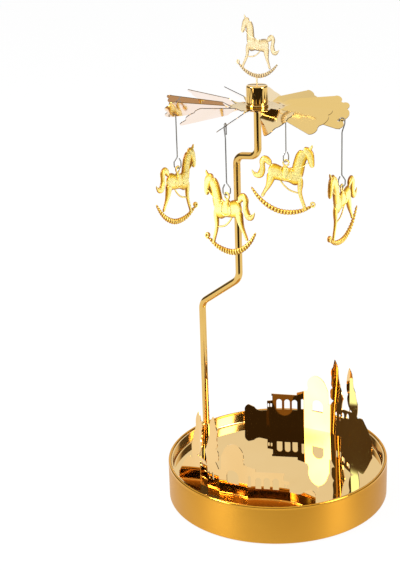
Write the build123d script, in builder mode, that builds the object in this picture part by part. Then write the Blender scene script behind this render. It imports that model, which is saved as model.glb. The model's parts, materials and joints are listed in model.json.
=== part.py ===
from build123d import *
from math import atan2, cos, degrees, hypot, radians, sin, sqrt
import os

os.makedirs("parts", exist_ok=True)

# Tray: a spun drum whose rolled rim holds a mirror dish, closed below and padded
tray_r = 50.0
tray_h = 18.35
tray_sheet = 0.6
rim_w = 1.3
rim_hem = 1.0
dish_depth = 5.5
dish_bend = 1.0
drum_bevel = 0.6
flange_w = 4.0
pad_proud = 0.6
pad_edge_gap = 0.5

# Mast: a bent wire in two lengths that plug together, standing in a socket beside the skyline
mast_d = 3.2
mast_inset = 9.2
mast_polar = 145.7
mast_turn = -34.3
joint_z = 54.0
low_corner_z = 84.6
mid_corner_z = 99.8
mid_offset = 21.2
high_corner_z = 156.0
jog_rise = 1.2
hub_offset = 32.5
slant_bend_r = 6.0
jog_bend_r = 4.0
spigot_d = 1.8
spigot_len = 6.0
socket_wall = 0.7
socket_h = 11.0
socket_floor = 1.5
socket_stud_d = 2.6
nut_af = 5.5
nut_h = 2.0
washer_d = 7.0
washer_t = 0.5

# Hub: a mirror cup that turns on a needle point
fan_z = 178.6
cup_d = 9.2
cup_top_z = 187.8
cup_wall = 0.5
cup_edge_r = 0.9
brim_d = 9.7
brim_t = 0.9
waist_d = 8.7
waist_h = 0.4
skirt_d = 8.0
skirt_drop = 1.6
collar_d = 9.6
collar_h = 1.2
bearing_h = 2.0
bearing_recess = 1.2
needle_d = 1.4
needle_seat = 5.0
needle_point_len = 2.4
mast_top_gap = 3.6

# Fan wheel: twelve blades twisted out of one thin disc
blade_count = 12
first_blade = 14.0
fan_sheet = 0.3
slit_r = 10.5
twist_len = 4.0
blade_tip_r = 39.5
blade_pitch = 35.0
blade_droop = 3.0
bow_droop = 6.2
bow_heading = 224.0
neck_w = 4.6
blade_w = 14.6
hook_hole_d = 1.5
hook_bridge = 1.0
hook_side = 2.6

# Pendants: a wire hook and a stamped rocking horse on each of four blades
pendant_blades = (5, 8, 2, 11)
horse_headings = (58.0, 134.5, -13.0, 243.3)
loop_turns = (-50.0, 50.0, 50.0, -50.0)
wire_d = 0.55
wire_drop = 28.0
hook_inner_w = 1.8
short_leg = 3.6
jog_start = 1.1
jog_end = 4.8
wire_jog_r = 3.0
loop_h = 5.0
loop_w = 3.0
loop_corner_r = 1.2
loop_neck_r = 0.9
loop_open = 0.6
horse_h = 35.7
horse_sheet = 0.5
relief_t = 0.25
eye_d = 1.8
eye_wall = 0.8

# Finial: a flat horse on a stem in the top of the cup
finial_h = 26.0
finial_heading = 140.0
finial_sheet = 0.4
stem_w = 0.9
stem_rise = 2.9
stem_seat = 0.45

# Skyline: two alike cut-out strips that stand in slots of the tray's floor
skyline_h = 39.0
skyline_sheet = 0.4
tab_w = 3.0
tab_drop = 1.4

# Fits shared by all pieces
slide_fit = 0.05
press_fit = 0.02
hang_gap = 0.10
overrun = 1.0


def finish(piece, name):
    """Name a piece and write it to its own file."""
    piece.part.label = name
    export_step(piece.part, f"parts/{name}.step")


def upright(origin, heading, dip=0.0):
    """A vertical plane whose X runs along a heading, dipped below level, and whose Y points up."""
    turn = radians(heading)
    down = radians(dip)
    ahead = (cos(down) * cos(turn), cos(down) * sin(turn), -sin(down))
    return Plane(origin=origin, x_dir=ahead, z_dir=(sin(turn), -cos(turn), 0))


def trace(start, stretches, unit_x, unit_y):
    """Draw an outline of lines (None, end) and arcs (via, end), given as shares of two sizes."""
    here = (start[0] * unit_x, start[1] * unit_y)
    for via, end in stretches:
        there = (end[0] * unit_x, end[1] * unit_y)
        if via is None:
            Line(here, there)
        else:
            ThreePointArc(here, (via[0] * unit_x, via[1] * unit_y), there)
        here = there


# Heights and radii that the pieces share
floor_top = tray_h - dish_depth
floor_low = floor_top - tray_sheet
rim_r = rim_w / 2
rim_base = tray_h - rim_r
drum_inner_r = tray_r - tray_sheet
dish_r = tray_r - rim_w - slide_fit
dish_inner_r = dish_r - tray_sheet
flange_top = pad_proud + tray_sheet
flange_inner_r = drum_inner_r - flange_w
plate_r = drum_inner_r - 2 * slide_fit
pad_r = flange_inner_r - pad_edge_gap
mast_r = mast_d / 2
mast_reach = tray_r - mast_inset
mast_x = mast_reach * cos(radians(mast_polar))
mast_y = mast_reach * sin(radians(mast_polar))
hub_x = mast_x + hub_offset * cos(radians(mast_turn))
hub_y = mast_y + hub_offset * sin(radians(mast_turn))

# Drum: outer wall, foot flange turned inward and a half-round rim over a hem
with BuildPart() as base_shell:
    with BuildSketch(Plane.XZ):
        with BuildLine():
            Polyline(
                (drum_inner_r, rim_base - rim_hem),
                (drum_inner_r, flange_top),
                (flange_inner_r, flange_top),
                (flange_inner_r, pad_proud),
                (tray_r - drum_bevel, pad_proud),
                (tray_r, pad_proud + drum_bevel),
                (tray_r, rim_base),
            )
            ThreePointArc((tray_r, rim_base), (tray_r - rim_r, tray_h), (tray_r - rim_w, rim_base))
            Polyline(
                (tray_r - rim_w, rim_base),
                (tray_r - rim_w, rim_base - rim_hem),
                (drum_inner_r, rim_base - rim_hem),
            )
        make_face()
    revolve(axis=Axis.Z)
finish(base_shell, "base_shell")

with BuildPart() as bottom_plate:
    with BuildSketch(Plane.XY.offset(flange_top)):
        Circle(plate_r)
    extrude(amount=tray_sheet)
finish(bottom_plate, "bottom_plate")

with BuildPart() as base_pad:
    with BuildSketch():
        Circle(pad_r)
    extrude(amount=flange_top)
finish(base_pad, "base_pad")

# Skyline strip: a flat pattern, folded as it follows the dish
fold_shares = (
    (-0.337, 0.928),
    (-0.110, 0.867),
    (0.273, 0.810),
    (0.531, 0.674),
    (0.637, 0.574),
    (0.712, 0.456),
    (0.924, 0.283),
)
folds = [(x * dish_inner_r, y * dish_inner_r) for x, y in fold_shares]
facet_lens = [hypot(b[0] - a[0], b[1] - a[1]) for a, b in zip(folds, folds[1:])]
facet_starts = [sum(facet_lens[:k]) for k in range(len(facet_lens) + 1)]
skyline_len = facet_starts[-1]
tabbed_facets = (1, 2, 5)

# Outlines as shares of the strip's length and height: hills and walls, then the two cypresses
town_start_share = (0.004, 0.0)
town_shares = (
    (None, (0.004, 0.19)),
    ((0.014, 0.245), (0.032, 0.267)),
    (None, (0.071, 0.241)),
    ((0.100, 0.203), (0.120, 0.200)),
    (None, (0.165, 0.212)),
    (None, (0.165, 0.338)),
    (None, (0.202, 0.348)),
    (None, (0.202, 0.412)),
    (None, (0.196, 0.412)),
    (None, (0.196, 0.438)),
    (None, (0.371, 0.434)),
    (None, (0.371, 0.467)),
    (None, (0.427, 0.497)),
    (None, (0.442, 0.503)),
    ((0.448, 0.525), (0.452, 0.552)),
    ((0.467, 0.690), (0.520, 0.728)),
    ((0.558, 0.690), (0.588, 0.606)),
    (None, (0.603, 0.548)),
    (None, (0.606, 0.379)),
    (None, (0.735, 0.379)),
    (None, (0.751, 0.393)),
    (None, (0.835, 0.412)),
    (None, (0.868, 0.380)),
    (None, (0.879, 0.349)),
    ((0.900, 0.366), (0.918, 0.361)),
    (None, (0.956, 0.254)),
    (None, (0.980, 0.170)),
    (None, (0.996, 0.120)),
    (None, (0.996, 0.0)),
    (None, (0.004, 0.0)),
)
near_tree_start_share = (0.635, 0.360)
near_tree_shares = (
    (None, (0.624, 0.380)),
    ((0.636, 0.420), (0.652, 0.456)),
    ((0.625, 0.480), (0.623, 0.520)),
    ((0.622, 0.575), (0.642, 0.618)),
    ((0.630, 0.650), (0.629, 0.690)),
    ((0.631, 0.740), (0.627, 0.790)),
    ((0.629, 0.850), (0.643, 0.890)),
    (None, (0.658, 1.0)),
    ((0.681, 0.930), (0.690, 0.867)),
    ((0.694, 0.780), (0.706, 0.692)),
    ((0.716, 0.630), (0.730, 0.574)),
    ((0.742, 0.545), (0.737, 0.505)),
    ((0.727, 0.440), (0.725, 0.360)),
    (None, (0.635, 0.360)),
)
far_tree_start_share = (0.840, 0.360)
far_tree_shares = (
    (None, (0.833, 0.420)),
    ((0.808, 0.460), (0.790, 0.530)),
    ((0.787, 0.580), (0.796, 0.625)),
    ((0.782, 0.670), (0.779, 0.726)),
    ((0.782, 0.830), (0.808, 0.980)),
    ((0.829, 0.910), (0.838, 0.800)),
    ((0.845, 0.735), (0.858, 0.685)),
    ((0.866, 0.600), (0.879, 0.531)),
    ((0.879, 0.450), (0.872, 0.360)),
    (None, (0.840, 0.360)),
)
silhouettes = (
    (town_start_share, town_shares),
    (near_tree_start_share, near_tree_shares),
    (far_tree_start_share, far_tree_shares),
)
# Arched windows: middle, sill and crown, and half the width, all as shares
window_shares = (
    (0.174, 0.256, 0.305, 0.006),
    (0.193, 0.259, 0.308, 0.006),
    (0.249, 0.233, 0.371, 0.019),
    (0.304, 0.236, 0.371, 0.019),
    (0.356, 0.233, 0.368, 0.018),
    (0.410, 0.248, 0.385, 0.009),
    (0.524, 0.246, 0.405, 0.042),
    (0.672, 0.223, 0.315, 0.008),
    (0.706, 0.218, 0.303, 0.006),
    (0.738, 0.272, 0.344, 0.014),
    (0.793, 0.305, 0.368, 0.014),
)

with BuildSketch() as skyline_pattern:
    for start_share, stretch_shares in silhouettes:
        with BuildLine():
            trace(start_share, stretch_shares, skyline_len, skyline_h)
        make_face()
    for mid_share, sill_share, crown_share, half_share in window_shares:
        window_r = half_share * skyline_len
        window_x = mid_share * skyline_len
        sill = sill_share * skyline_h
        spring = crown_share * skyline_h - window_r
        with BuildLine():
            Polyline(
                (window_x - window_r, spring),
                (window_x - window_r, sill),
                (window_x + window_r, sill),
                (window_x + window_r, spring),
            )
            ThreePointArc(
                (window_x + window_r, spring),
                (window_x, spring + window_r),
                (window_x - window_r, spring),
            )
        make_face(mode=Mode.SUBTRACT)

# Each fold is a round bend as high as the strip is there
fold_height_shares = (0.205, 0.49, 0.370, 0.62, 0.95)


def facet_plane(k, side):
    """The upright plane of one facet, on the floor, on the back (1) or front (-1) strip."""
    (ax, ay), (bx, by) = folds[k], folds[k + 1]
    heading = degrees(atan2(side * (by - ay), side * (bx - ax)))
    return upright((side * ax, side * ay, floor_top), heading)


def make_skyline(side):
    with BuildPart() as strip:
        for k, facet_len in enumerate(facet_lens):
            with BuildSketch(facet_plane(k, side)):
                with Locations((-facet_starts[k], 0)):
                    add(skyline_pattern.sketch)
                with Locations((facet_len / 2, skyline_h / 2)):
                    Rectangle(facet_len, skyline_h + overrun, mode=Mode.INTERSECT)
            extrude(amount=skyline_sheet / 2, both=True)
        for k in tabbed_facets:
            with BuildSketch(facet_plane(k, side)):
                with Locations((facet_lens[k] / 2, -tab_drop / 2)):
                    Rectangle(tab_w, tab_drop)
            extrude(amount=skyline_sheet / 2, both=True)
        for (x, y), height_share in zip(folds[1:-1], fold_height_shares):
            with BuildSketch(Plane.XY.offset(floor_top)):
                with Locations((side * x, side * y)):
                    Circle(skyline_sheet / 2)
            extrude(amount=height_share * skyline_h)
    return strip


finish(make_skyline(1), "skyline_back")
finish(make_skyline(-1), "skyline_front")

# Mirror dish: floor and wall in one pressing, pierced for the mast and the skyline's tabs
socket_bore_r = mast_r + slide_fit
socket_r = socket_bore_r + socket_wall
with BuildPart() as mirror_dish:
    with BuildSketch(Plane.XZ):
        with BuildLine():
            Polyline(
                (0, floor_low),
                (0, floor_top),
                (dish_inner_r - dish_bend, floor_top),
                (dish_inner_r, floor_top + dish_bend),
                (dish_inner_r, rim_base),
                (dish_r, rim_base),
                (dish_r, floor_low + dish_bend),
                (dish_r - dish_bend, floor_low),
                close=True,
            )
        make_face()
    revolve(axis=Axis.Z)
    with BuildSketch(Plane.XY.offset(floor_low - overrun)):
        with Locations((mast_x, mast_y)):
            Circle(socket_stud_d / 2 + slide_fit)
        for side in (1, -1):
            for k in tabbed_facets:
                (ax, ay), (bx, by) = folds[k], folds[k + 1]
                slot_turn = degrees(atan2(by - ay, bx - ax))
                with Locations(Location((side * (ax + bx) / 2, side * (ay + by) / 2, 0), slot_turn)):
                    Rectangle(tab_w + 2 * slide_fit, skyline_sheet + 2 * slide_fit)
    extrude(amount=tray_sheet + 2 * overrun, mode=Mode.SUBTRACT)
finish(mirror_dish, "mirror_dish")

# Mast socket: a turned sleeve on the floor, its stud clamped by a washer and nut underneath
nut_top = floor_low - washer_t
with BuildPart() as rod_socket:
    with BuildSketch(Plane(origin=(mast_x, mast_y, floor_top))):
        Circle(socket_r)
    extrude(amount=socket_h)
    fillet(rod_socket.edges().group_by(Axis.Z)[-1], radius=socket_wall / 3)
    with BuildSketch(Plane(origin=(mast_x, mast_y, floor_top + socket_floor))):
        Circle(socket_bore_r)
    extrude(amount=socket_h, mode=Mode.SUBTRACT)
    with BuildSketch(Plane(origin=(mast_x, mast_y, nut_top - nut_h))):
        Circle(socket_stud_d / 2)
    extrude(amount=floor_top - nut_top + nut_h)
finish(rod_socket, "rod_socket")

with BuildPart() as socket_washer:
    with BuildSketch(Plane(origin=(mast_x, mast_y, nut_top))):
        Circle(washer_d / 2)
        Circle(socket_stud_d / 2 + slide_fit, mode=Mode.SUBTRACT)
    extrude(amount=washer_t)
finish(socket_washer, "socket_washer")

with BuildPart() as socket_nut:
    with BuildSketch(Plane(origin=(mast_x, mast_y, nut_top - nut_h))):
        RegularPolygon(nut_af / 2, 6, major_radius=False)
        Circle(socket_stud_d / 2 + press_fit, mode=Mode.SUBTRACT)
    extrude(amount=nut_h)
finish(socket_nut, "socket_nut")

# Lower rod: straight, with a spigot at its top
with BuildPart() as lower_rod:
    with BuildSketch(Plane(origin=(mast_x, mast_y, floor_top + socket_floor))):
        Circle(mast_r)
    extrude(amount=joint_z - floor_top - socket_floor)
    with BuildSketch(Plane(origin=(mast_x, mast_y, joint_z))):
        Circle(spigot_d / 2)
    extrude(amount=spigot_len)
finish(lower_rod, "lower_rod")

# Upper rod: bent in one upright plane, so that its end stands over the tray's middle
needle_tip_z = cup_top_z - cup_wall - bearing_h + bearing_recess - slide_fit
mast_top_z = needle_tip_z - mast_top_gap
mast_plane = upright((mast_x, mast_y, 0), mast_turn)
with BuildPart() as upper_rod:
    with BuildLine(mast_plane) as mast_line:
        FilletPolyline(
            (0, joint_z),
            (0, low_corner_z),
            (mid_offset, mid_corner_z),
            (mid_offset, high_corner_z),
            (hub_offset, high_corner_z + jog_rise),
            (hub_offset, mast_top_z),
            radius=(slant_bend_r, slant_bend_r, jog_bend_r, jog_bend_r),
        )
    with BuildSketch(Plane(origin=(mast_x, mast_y, joint_z))):
        Circle(mast_r)
    sweep(path=mast_line.wires()[0])
    with BuildSketch(Plane(origin=(mast_x, mast_y, joint_z - overrun))):
        Circle(spigot_d / 2 + slide_fit)
    extrude(amount=overrun + spigot_len + hang_gap, mode=Mode.SUBTRACT)
    with BuildSketch(Plane(origin=(hub_x, hub_y, mast_top_z - needle_seat))):
        Circle(needle_d / 2 + press_fit)
    extrude(amount=needle_seat + overrun, mode=Mode.SUBTRACT)
finish(upper_rod, "upper_rod")

with BuildPart() as pivot_needle:
    with BuildSketch(Plane(origin=(hub_x, hub_y, 0), x_dir=(1, 0, 0), z_dir=(0, -1, 0))):
        with BuildLine():
            Polyline(
                (0, mast_top_z - needle_seat),
                (needle_d / 2, mast_top_z - needle_seat),
                (needle_d / 2, needle_tip_z - needle_point_len),
                (0, needle_tip_z),
                close=True,
            )
        make_face()
    revolve(axis=Axis((hub_x, hub_y, 0), (0, 0, 1)))
finish(pivot_needle, "pivot_needle")

# Bearing: a disc under the cup's ceiling with a cone that sits on the needle
ceiling_z = cup_top_z - cup_wall
cup_bore_r = cup_d / 2 - cup_wall
hub_side = Plane(origin=(hub_x, hub_y, 0), x_dir=(1, 0, 0), z_dir=(0, -1, 0))
hub_axis = Axis((hub_x, hub_y, 0), (0, 0, 1))
with BuildPart() as pivot_cup:
    with BuildSketch(hub_side):
        with BuildLine():
            Polyline(
                (0, ceiling_z - bearing_h + bearing_recess),
                (bearing_recess, ceiling_z - bearing_h),
                (cup_bore_r - press_fit, ceiling_z - bearing_h),
                (cup_bore_r - press_fit, ceiling_z),
                (0, ceiling_z),
                close=True,
            )
        make_face()
    revolve(axis=hub_axis)
finish(pivot_cup, "pivot_cup")

# Cup: brim on the fan, narrow waist, straight wall, and a skirt down through the fan
fan_top = fan_z + fan_sheet / 2
fan_under = fan_z - fan_sheet / 2
brim_top = fan_top + brim_t
skirt_low = fan_under - skirt_drop
skirt_bore_r = skirt_d / 2 - cup_wall
with BuildPart() as hub_cap:
    with BuildSketch(hub_side):
        with BuildLine():
            Polyline(
                (0, cup_top_z),
                (0, ceiling_z),
                (cup_bore_r, ceiling_z),
                (cup_bore_r, brim_top),
                (skirt_bore_r, brim_top),
                (skirt_bore_r, skirt_low),
                (skirt_d / 2, skirt_low),
                (skirt_d / 2, fan_top),
                (brim_d / 2, fan_top),
                (brim_d / 2, brim_top),
                (waist_d / 2, brim_top),
                (waist_d / 2, brim_top + waist_h),
                (cup_d / 2, brim_top + waist_h),
                (cup_d / 2, cup_top_z - cup_edge_r),
            )
            ThreePointArc(
                (cup_d / 2, cup_top_z - cup_edge_r),
                (cup_d / 2 - cup_edge_r * (1 - sqrt(0.5)), cup_top_z - cup_edge_r * (1 - sqrt(0.5))),
                (cup_d / 2 - cup_edge_r, cup_top_z),
            )
            Line((cup_d / 2 - cup_edge_r, cup_top_z), (0, cup_top_z))
        make_face()
    revolve(axis=hub_axis)
    with BuildSketch(Plane(origin=(hub_x, hub_y, cup_top_z - stem_seat))):
        with Locations(Location((0, 0, 0), finial_heading)):
            Rectangle(stem_w + 2 * press_fit, finial_sheet + 2 * press_fit)
    extrude(amount=stem_seat + overrun, mode=Mode.SUBTRACT)
finish(hub_cap, "hub_cap")

with BuildPart() as hub_collar:
    with BuildSketch(Plane(origin=(hub_x, hub_y, fan_under - collar_h))):
        Circle(collar_d / 2)
        Circle(skirt_d / 2 + press_fit, mode=Mode.SUBTRACT)
    extrude(amount=collar_h)
finish(hub_collar, "hub_collar")

# Fan wheel: a flat centre, a twisted neck at each slit's end, and a pitched blade with a lobed tip
neck_flat = 2 * fan_sheet
blade_root_r = slit_r + twist_len
blade_len = (blade_tip_r - blade_root_r) / cos(radians(blade_droop))
root_w = neck_w + (blade_w - neck_w) * twist_len / (blade_tip_r - slit_r)
corner_share = 0.84
notch_share = 0.935
notch_shares = (-0.22, -0.13)
blade_shares = (
    ((0.955, -0.40), (notch_share, notch_shares[0])),
    (None, (notch_share, notch_shares[1])),
    ((1.0, 0.08), (0.93, 0.29)),
    ((0.955, 0.43), (corner_share, 0.5)),
)
hook_edge = notch_share * blade_len
hook_hole_u = hook_edge - hook_bridge - hook_hole_d / 2
hook_u = hook_edge - hook_bridge / 2


def blade_turn(number):
    return first_blade + number * 360 / blade_count


def blade_plane(number):
    """A pitched blade's plane: X outward along its middle, Y across, counter-clockwise side high.
    The wheel is bowed: blades droop less on the bow's heading, and more across from it."""
    turn = radians(blade_turn(number))
    droop = radians(blade_droop - bow_droop * cos(turn - radians(bow_heading)))
    pitch = radians(blade_pitch)
    out = Vector(cos(droop) * cos(turn), cos(droop) * sin(turn), -sin(droop))
    level = Vector(-sin(turn), cos(turn), 0)
    across = level * cos(pitch) + out.cross(level) * sin(pitch)
    root = Vector(hub_x + blade_root_r * cos(turn), hub_y + blade_root_r * sin(turn), fan_z)
    return Plane(origin=root, x_dir=out, z_dir=out.cross(across))


def neck_plane(number):
    """The upright plane across a blade's neck, where the disc's flat part ends."""
    turn = radians(blade_turn(number))
    r = slit_r + neck_flat
    origin = (hub_x + r * cos(turn), hub_y + r * sin(turn), fan_z)
    return Plane(origin=origin, x_dir=(-sin(turn), cos(turn), 0), z_dir=(cos(turn), sin(turn), 0))


with BuildPart() as fan_wheel:
    with BuildSketch(Plane(origin=(hub_x, hub_y, fan_under))):
        Circle(slit_r)
        with PolarLocations(slit_r, blade_count, start_angle=first_blade):
            Rectangle(2 * neck_flat, neck_w)
        Circle(skirt_d / 2 + slide_fit, mode=Mode.SUBTRACT)
    extrude(amount=fan_sheet)
    for number in range(blade_count):
        tip = blade_plane(number)
        with BuildSketch(neck_plane(number)):
            Rectangle(neck_w, fan_sheet)
        with BuildSketch(Plane(origin=tip.origin, x_dir=tip.y_dir, z_dir=tip.x_dir)):
            Rectangle(root_w, fan_sheet)
        loft(ruled=True)
        with BuildSketch(tip):
            with BuildLine():
                Line((0, root_w / 2), (0, -root_w / 2))
                Line((0, -root_w / 2), (corner_share * blade_len, -blade_w / 2))
                trace((corner_share, -0.5), blade_shares, blade_len, blade_w)
                Line((corner_share * blade_len, blade_w / 2), (0, root_w / 2))
            make_face()
            if number in pendant_blades:
                with Locations((hook_hole_u, -hook_side)):
                    Circle(hook_hole_d / 2, mode=Mode.SUBTRACT)
        extrude(amount=fan_sheet / 2, both=True)
finish(fan_wheel, "fan_wheel")

# Rocking horse: outlines from the eye's centre, X ahead, as shares of its height
figure_start_share = (-0.22, -0.075)
figure_shares = (
    ((-0.14, -0.028), (-0.065, -0.05)),
    ((0.02, -0.08), (0.09, -0.03)),
    ((0.088, 0.10), (0.115, 0.22)),
    ((0.18, 0.272), (0.25, 0.262)),
    (None, (0.29, 0.311)),
    (None, (0.313, 0.25)),
    ((0.347, 0.15), (0.368, 0.06)),
    ((0.36, 0.005), (0.33, 0.0)),
    (None, (0.305, 0.045)),
    (None, (0.262, 0.098)),
    (None, (0.245, 0.06)),
    ((0.26, -0.07), (0.233, -0.16)),
    ((0.258, -0.31), (0.36, -0.50)),
    (None, (0.385, -0.56)),
    (None, (0.345, -0.57)),
    ((0.25, -0.42), (0.228, -0.33)),
    ((0.075, -0.24), (-0.085, -0.25)),
    ((-0.14, -0.36), (-0.20, -0.46)),
    (None, (-0.205, -0.53)),
    (None, (-0.25, -0.51)),
    ((-0.205, -0.37), (-0.205, -0.24)),
    ((-0.235, -0.16), (-0.22, -0.075)),
)
tail_start_share = (-0.195, -0.055)
tail_shares = (
    ((-0.225, 0.015), (-0.285, 0.037)),
    ((-0.345, 0.02), (-0.34, -0.05)),
    ((-0.312, -0.12), (-0.335, -0.195)),
    ((-0.372, -0.222), (-0.425, -0.185)),
    ((-0.388, -0.268), (-0.325, -0.288)),
    ((-0.268, -0.265), (-0.258, -0.19)),
    (None, (-0.225, -0.125)),
    (None, (-0.195, -0.125)),
    (None, (-0.195, -0.055)),
)
rocker_start_share = (-0.388, -0.405)
rocker_shares = (
    ((0.07, -0.61), (0.40, -0.485)),
    (None, (0.465, -0.485)),
    ((0.10, -0.685), (-0.392, -0.437)),
    (None, (-0.388, -0.405)),
)
girth_start_share = (-0.03, -0.245)
girth_shares = (
    ((0.06, -0.325), (0.235, -0.345)),
    (None, (0.235, -0.365)),
    ((0.04, -0.345), (-0.05, -0.245)),
    (None, (-0.03, -0.245)),
)
saddle_start_share = (-0.045, -0.055)
saddle_shares = (
    ((0.02, -0.075), (0.085, -0.045)),
    ((0.075, -0.12), (0.105, -0.185)),
    ((0.03, -0.215), (-0.05, -0.19)),
    ((-0.025, -0.12), (-0.045, -0.055)),
)
mane_start_share = (0.10, 0.0)
mane_shares = (
    ((0.098, 0.11), (0.125, 0.215)),
    ((0.185, 0.262), (0.245, 0.25)),
    ((0.185, 0.235), (0.155, 0.18)),
    ((0.135, 0.09), (0.135, 0.01)),
    (None, (0.10, 0.0)),
)
runner_start_share = (-0.375, -0.425)
runner_shares = (
    ((0.08, -0.63), (0.41, -0.505)),
    (None, (0.435, -0.505)),
    ((0.10, -0.668), (-0.378, -0.433)),
    (None, (-0.375, -0.425)),
)
scroll_share = (0.438, -0.457)
scroll_r_share = 0.046
outline_shares = (
    (figure_start_share, figure_shares),
    (tail_start_share, tail_shares),
    (rocker_start_share, rocker_shares),
    (girth_start_share, girth_shares),
)
raised_shares = (
    (saddle_start_share, saddle_shares),
    (mane_start_share, mane_shares),
    (runner_start_share, runner_shares),
)
eye_r = eye_d / 2


def draw_outlines(shapes, height):
    for start_share, stretch_shares in shapes:
        with BuildLine() as outline:
            trace(start_share, stretch_shares, height, height)
        make_face(outline.edges())


def draw_horse(height):
    draw_outlines(outline_shares, height)
    with Locations((scroll_share[0] * height, scroll_share[1] * height)):
        Circle(scroll_r_share * height)


def make_horse(plane):
    """A pressed horse on a plane through its eye's centre: plate, eye, and saddle, mane and runner raised."""
    with BuildPart() as horse:
        with BuildSketch(plane):
            draw_horse(horse_h)
            Circle(eye_r + eye_wall)
            with Locations((0, -eye_r - 2 * eye_wall)):
                Rectangle(eye_d + eye_wall, 2 * eye_d)
            Circle(eye_r, mode=Mode.SUBTRACT)
        extrude(amount=horse_sheet / 2, both=True)
        with BuildSketch(plane):
            draw_outlines(raised_shares, horse_h)
        extrude(amount=horse_sheet / 2 + relief_t, both=True)
    return horse


# A horse hangs with its weight straight below its eye
level_horse = make_horse(Plane.XY)
level_centre = level_horse.part.center(CenterOf.MASS)
hang_dip = degrees(atan2(level_centre.X, -level_centre.Y))
print(f"a horse hangs {hang_dip:.2f} degrees nose down")

# Pendants: each wire goes over its blade's bridge, and its loop holds the eye
hook_r = (hook_inner_w + wire_d) / 2
loop_top = wire_drop - loop_h
shoulder_share = 0.44
loop_side = loop_top + shoulder_share * loop_h
wire_half = (jog_end + loop_top) / 2
eye_drop = wire_drop + eye_r - wire_d / 2 - hang_gap


def make_wire(pivot, hook_heading, loop_heading):
    hook_plane = upright(pivot, hook_heading)
    loop_plane = upright(pivot, loop_heading)
    with BuildPart() as wire:
        with BuildLine(hook_plane) as hook_line:
            Line((-hook_r, -short_leg), (-hook_r, 0))
            ThreePointArc((-hook_r, 0), (0, hook_r), (hook_r, 0))
            FilletPolyline(
                (hook_r, 0),
                (hook_r, -jog_start),
                (0, -jog_end),
                (0, -wire_half),
                radius=wire_jog_r,
            )
        with BuildLine(loop_plane) as loop_line:
            FilletPolyline(
                (0, -wire_half),
                (0, -loop_top),
                (-loop_w / 2, -loop_side),
                (-loop_w / 2, -wire_drop),
                (loop_w / 2, -wire_drop),
                (loop_w / 2, -loop_side),
                (loop_w / 4, -loop_top - loop_open),
                radius=(loop_neck_r, loop_neck_r, loop_corner_r, loop_corner_r, loop_neck_r),
            )
        with BuildSketch(Plane(origin=hook_plane.from_local_coords((-hook_r, -short_leg)))):
            Circle(wire_d / 2)
        sweep(path=Wire(hook_line.edges() + loop_line.edges()))
    return wire


for count, number in enumerate(pendant_blades):
    pivot = blade_plane(number).from_local_coords((hook_u, -hook_side))
    eye = pivot - Vector(0, 0, eye_drop)
    heading = horse_headings[count]
    wire = make_wire(pivot, blade_turn(number), heading + loop_turns[count])
    finish(wire, f"hanger_wire_{count + 1}")
    finish(make_horse(upright(eye, heading, hang_dip)), f"horse_{count + 1}")
    swing = upright(pivot, blade_turn(number)).z_dir
    print(f"pendant {count + 1}: pivot {pivot}, swing axis {swing}, eye {eye}, heading {heading}")
print(f"hub axis at {hub_x:.3f}, {hub_y:.3f}; mast at {mast_x:.3f}, {mast_y:.3f}")

# Finial: the same figure, flat and smaller, on a stem that plugs into the cup's top
stem_share = 0.05
runner_low_share = 0.68
finial_z = cup_top_z + stem_rise + runner_low_share * finial_h
finial_turn = radians(finial_heading)
finial_back = stem_share * finial_h
finial_origin = (hub_x - finial_back * cos(finial_turn), hub_y - finial_back * sin(finial_turn), finial_z)
stem_foot = cup_top_z - stem_seat - finial_z
stem_top = stem_rise + cup_top_z - finial_z + finial_sheet
with BuildPart() as finial_horse:
    with BuildSketch(upright(finial_origin, finial_heading)):
        draw_horse(finial_h)
        with Locations((finial_back, (stem_foot + stem_top) / 2)):
            Rectangle(stem_w, stem_top - stem_foot)
    extrude(amount=finial_sheet / 2, both=True)
finish(finial_horse, "finial_horse")
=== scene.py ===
import json
from math import atan2, cos, pi, radians, sin

import bmesh
import bpy
import numpy as np
from bpy.props import FloatProperty, FloatVectorProperty, IntProperty, PointerProperty
from mathutils import Matrix, Vector


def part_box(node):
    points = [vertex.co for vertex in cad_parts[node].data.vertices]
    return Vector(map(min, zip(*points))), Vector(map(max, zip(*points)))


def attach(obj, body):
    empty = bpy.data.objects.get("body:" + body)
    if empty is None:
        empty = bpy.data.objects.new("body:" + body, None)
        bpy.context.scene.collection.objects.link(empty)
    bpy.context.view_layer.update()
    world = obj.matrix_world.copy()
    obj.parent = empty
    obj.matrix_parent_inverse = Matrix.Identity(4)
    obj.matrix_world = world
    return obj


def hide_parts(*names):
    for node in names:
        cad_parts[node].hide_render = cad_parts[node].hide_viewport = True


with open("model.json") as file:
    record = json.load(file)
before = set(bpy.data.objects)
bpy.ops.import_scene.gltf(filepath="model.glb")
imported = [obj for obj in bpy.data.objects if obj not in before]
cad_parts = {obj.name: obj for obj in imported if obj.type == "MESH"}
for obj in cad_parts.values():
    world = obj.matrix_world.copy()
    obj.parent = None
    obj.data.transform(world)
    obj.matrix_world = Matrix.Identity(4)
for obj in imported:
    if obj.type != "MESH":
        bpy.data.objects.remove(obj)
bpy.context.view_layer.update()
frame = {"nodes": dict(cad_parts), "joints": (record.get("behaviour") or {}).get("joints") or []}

bl_info = {
    "name": "Rotary candle carousel",
    "version": (1, 0, 0),
    "blender": (4, 5, 0),
    "location": "View3D > Sidebar > Carousel",
    "description": "Dresses a tealight carousel: tray, mast, fan wheel, town strips and hanging rocking horses",
    "category": "Add Mesh",
}

MM = 0.001
SHEET = 0.6 * MM        # thickness of the tray's sheet
MERGE = 1e-7            # points closer than this are one
CORNER = radians(35.0)  # sharper corners than this stay sharp

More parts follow.
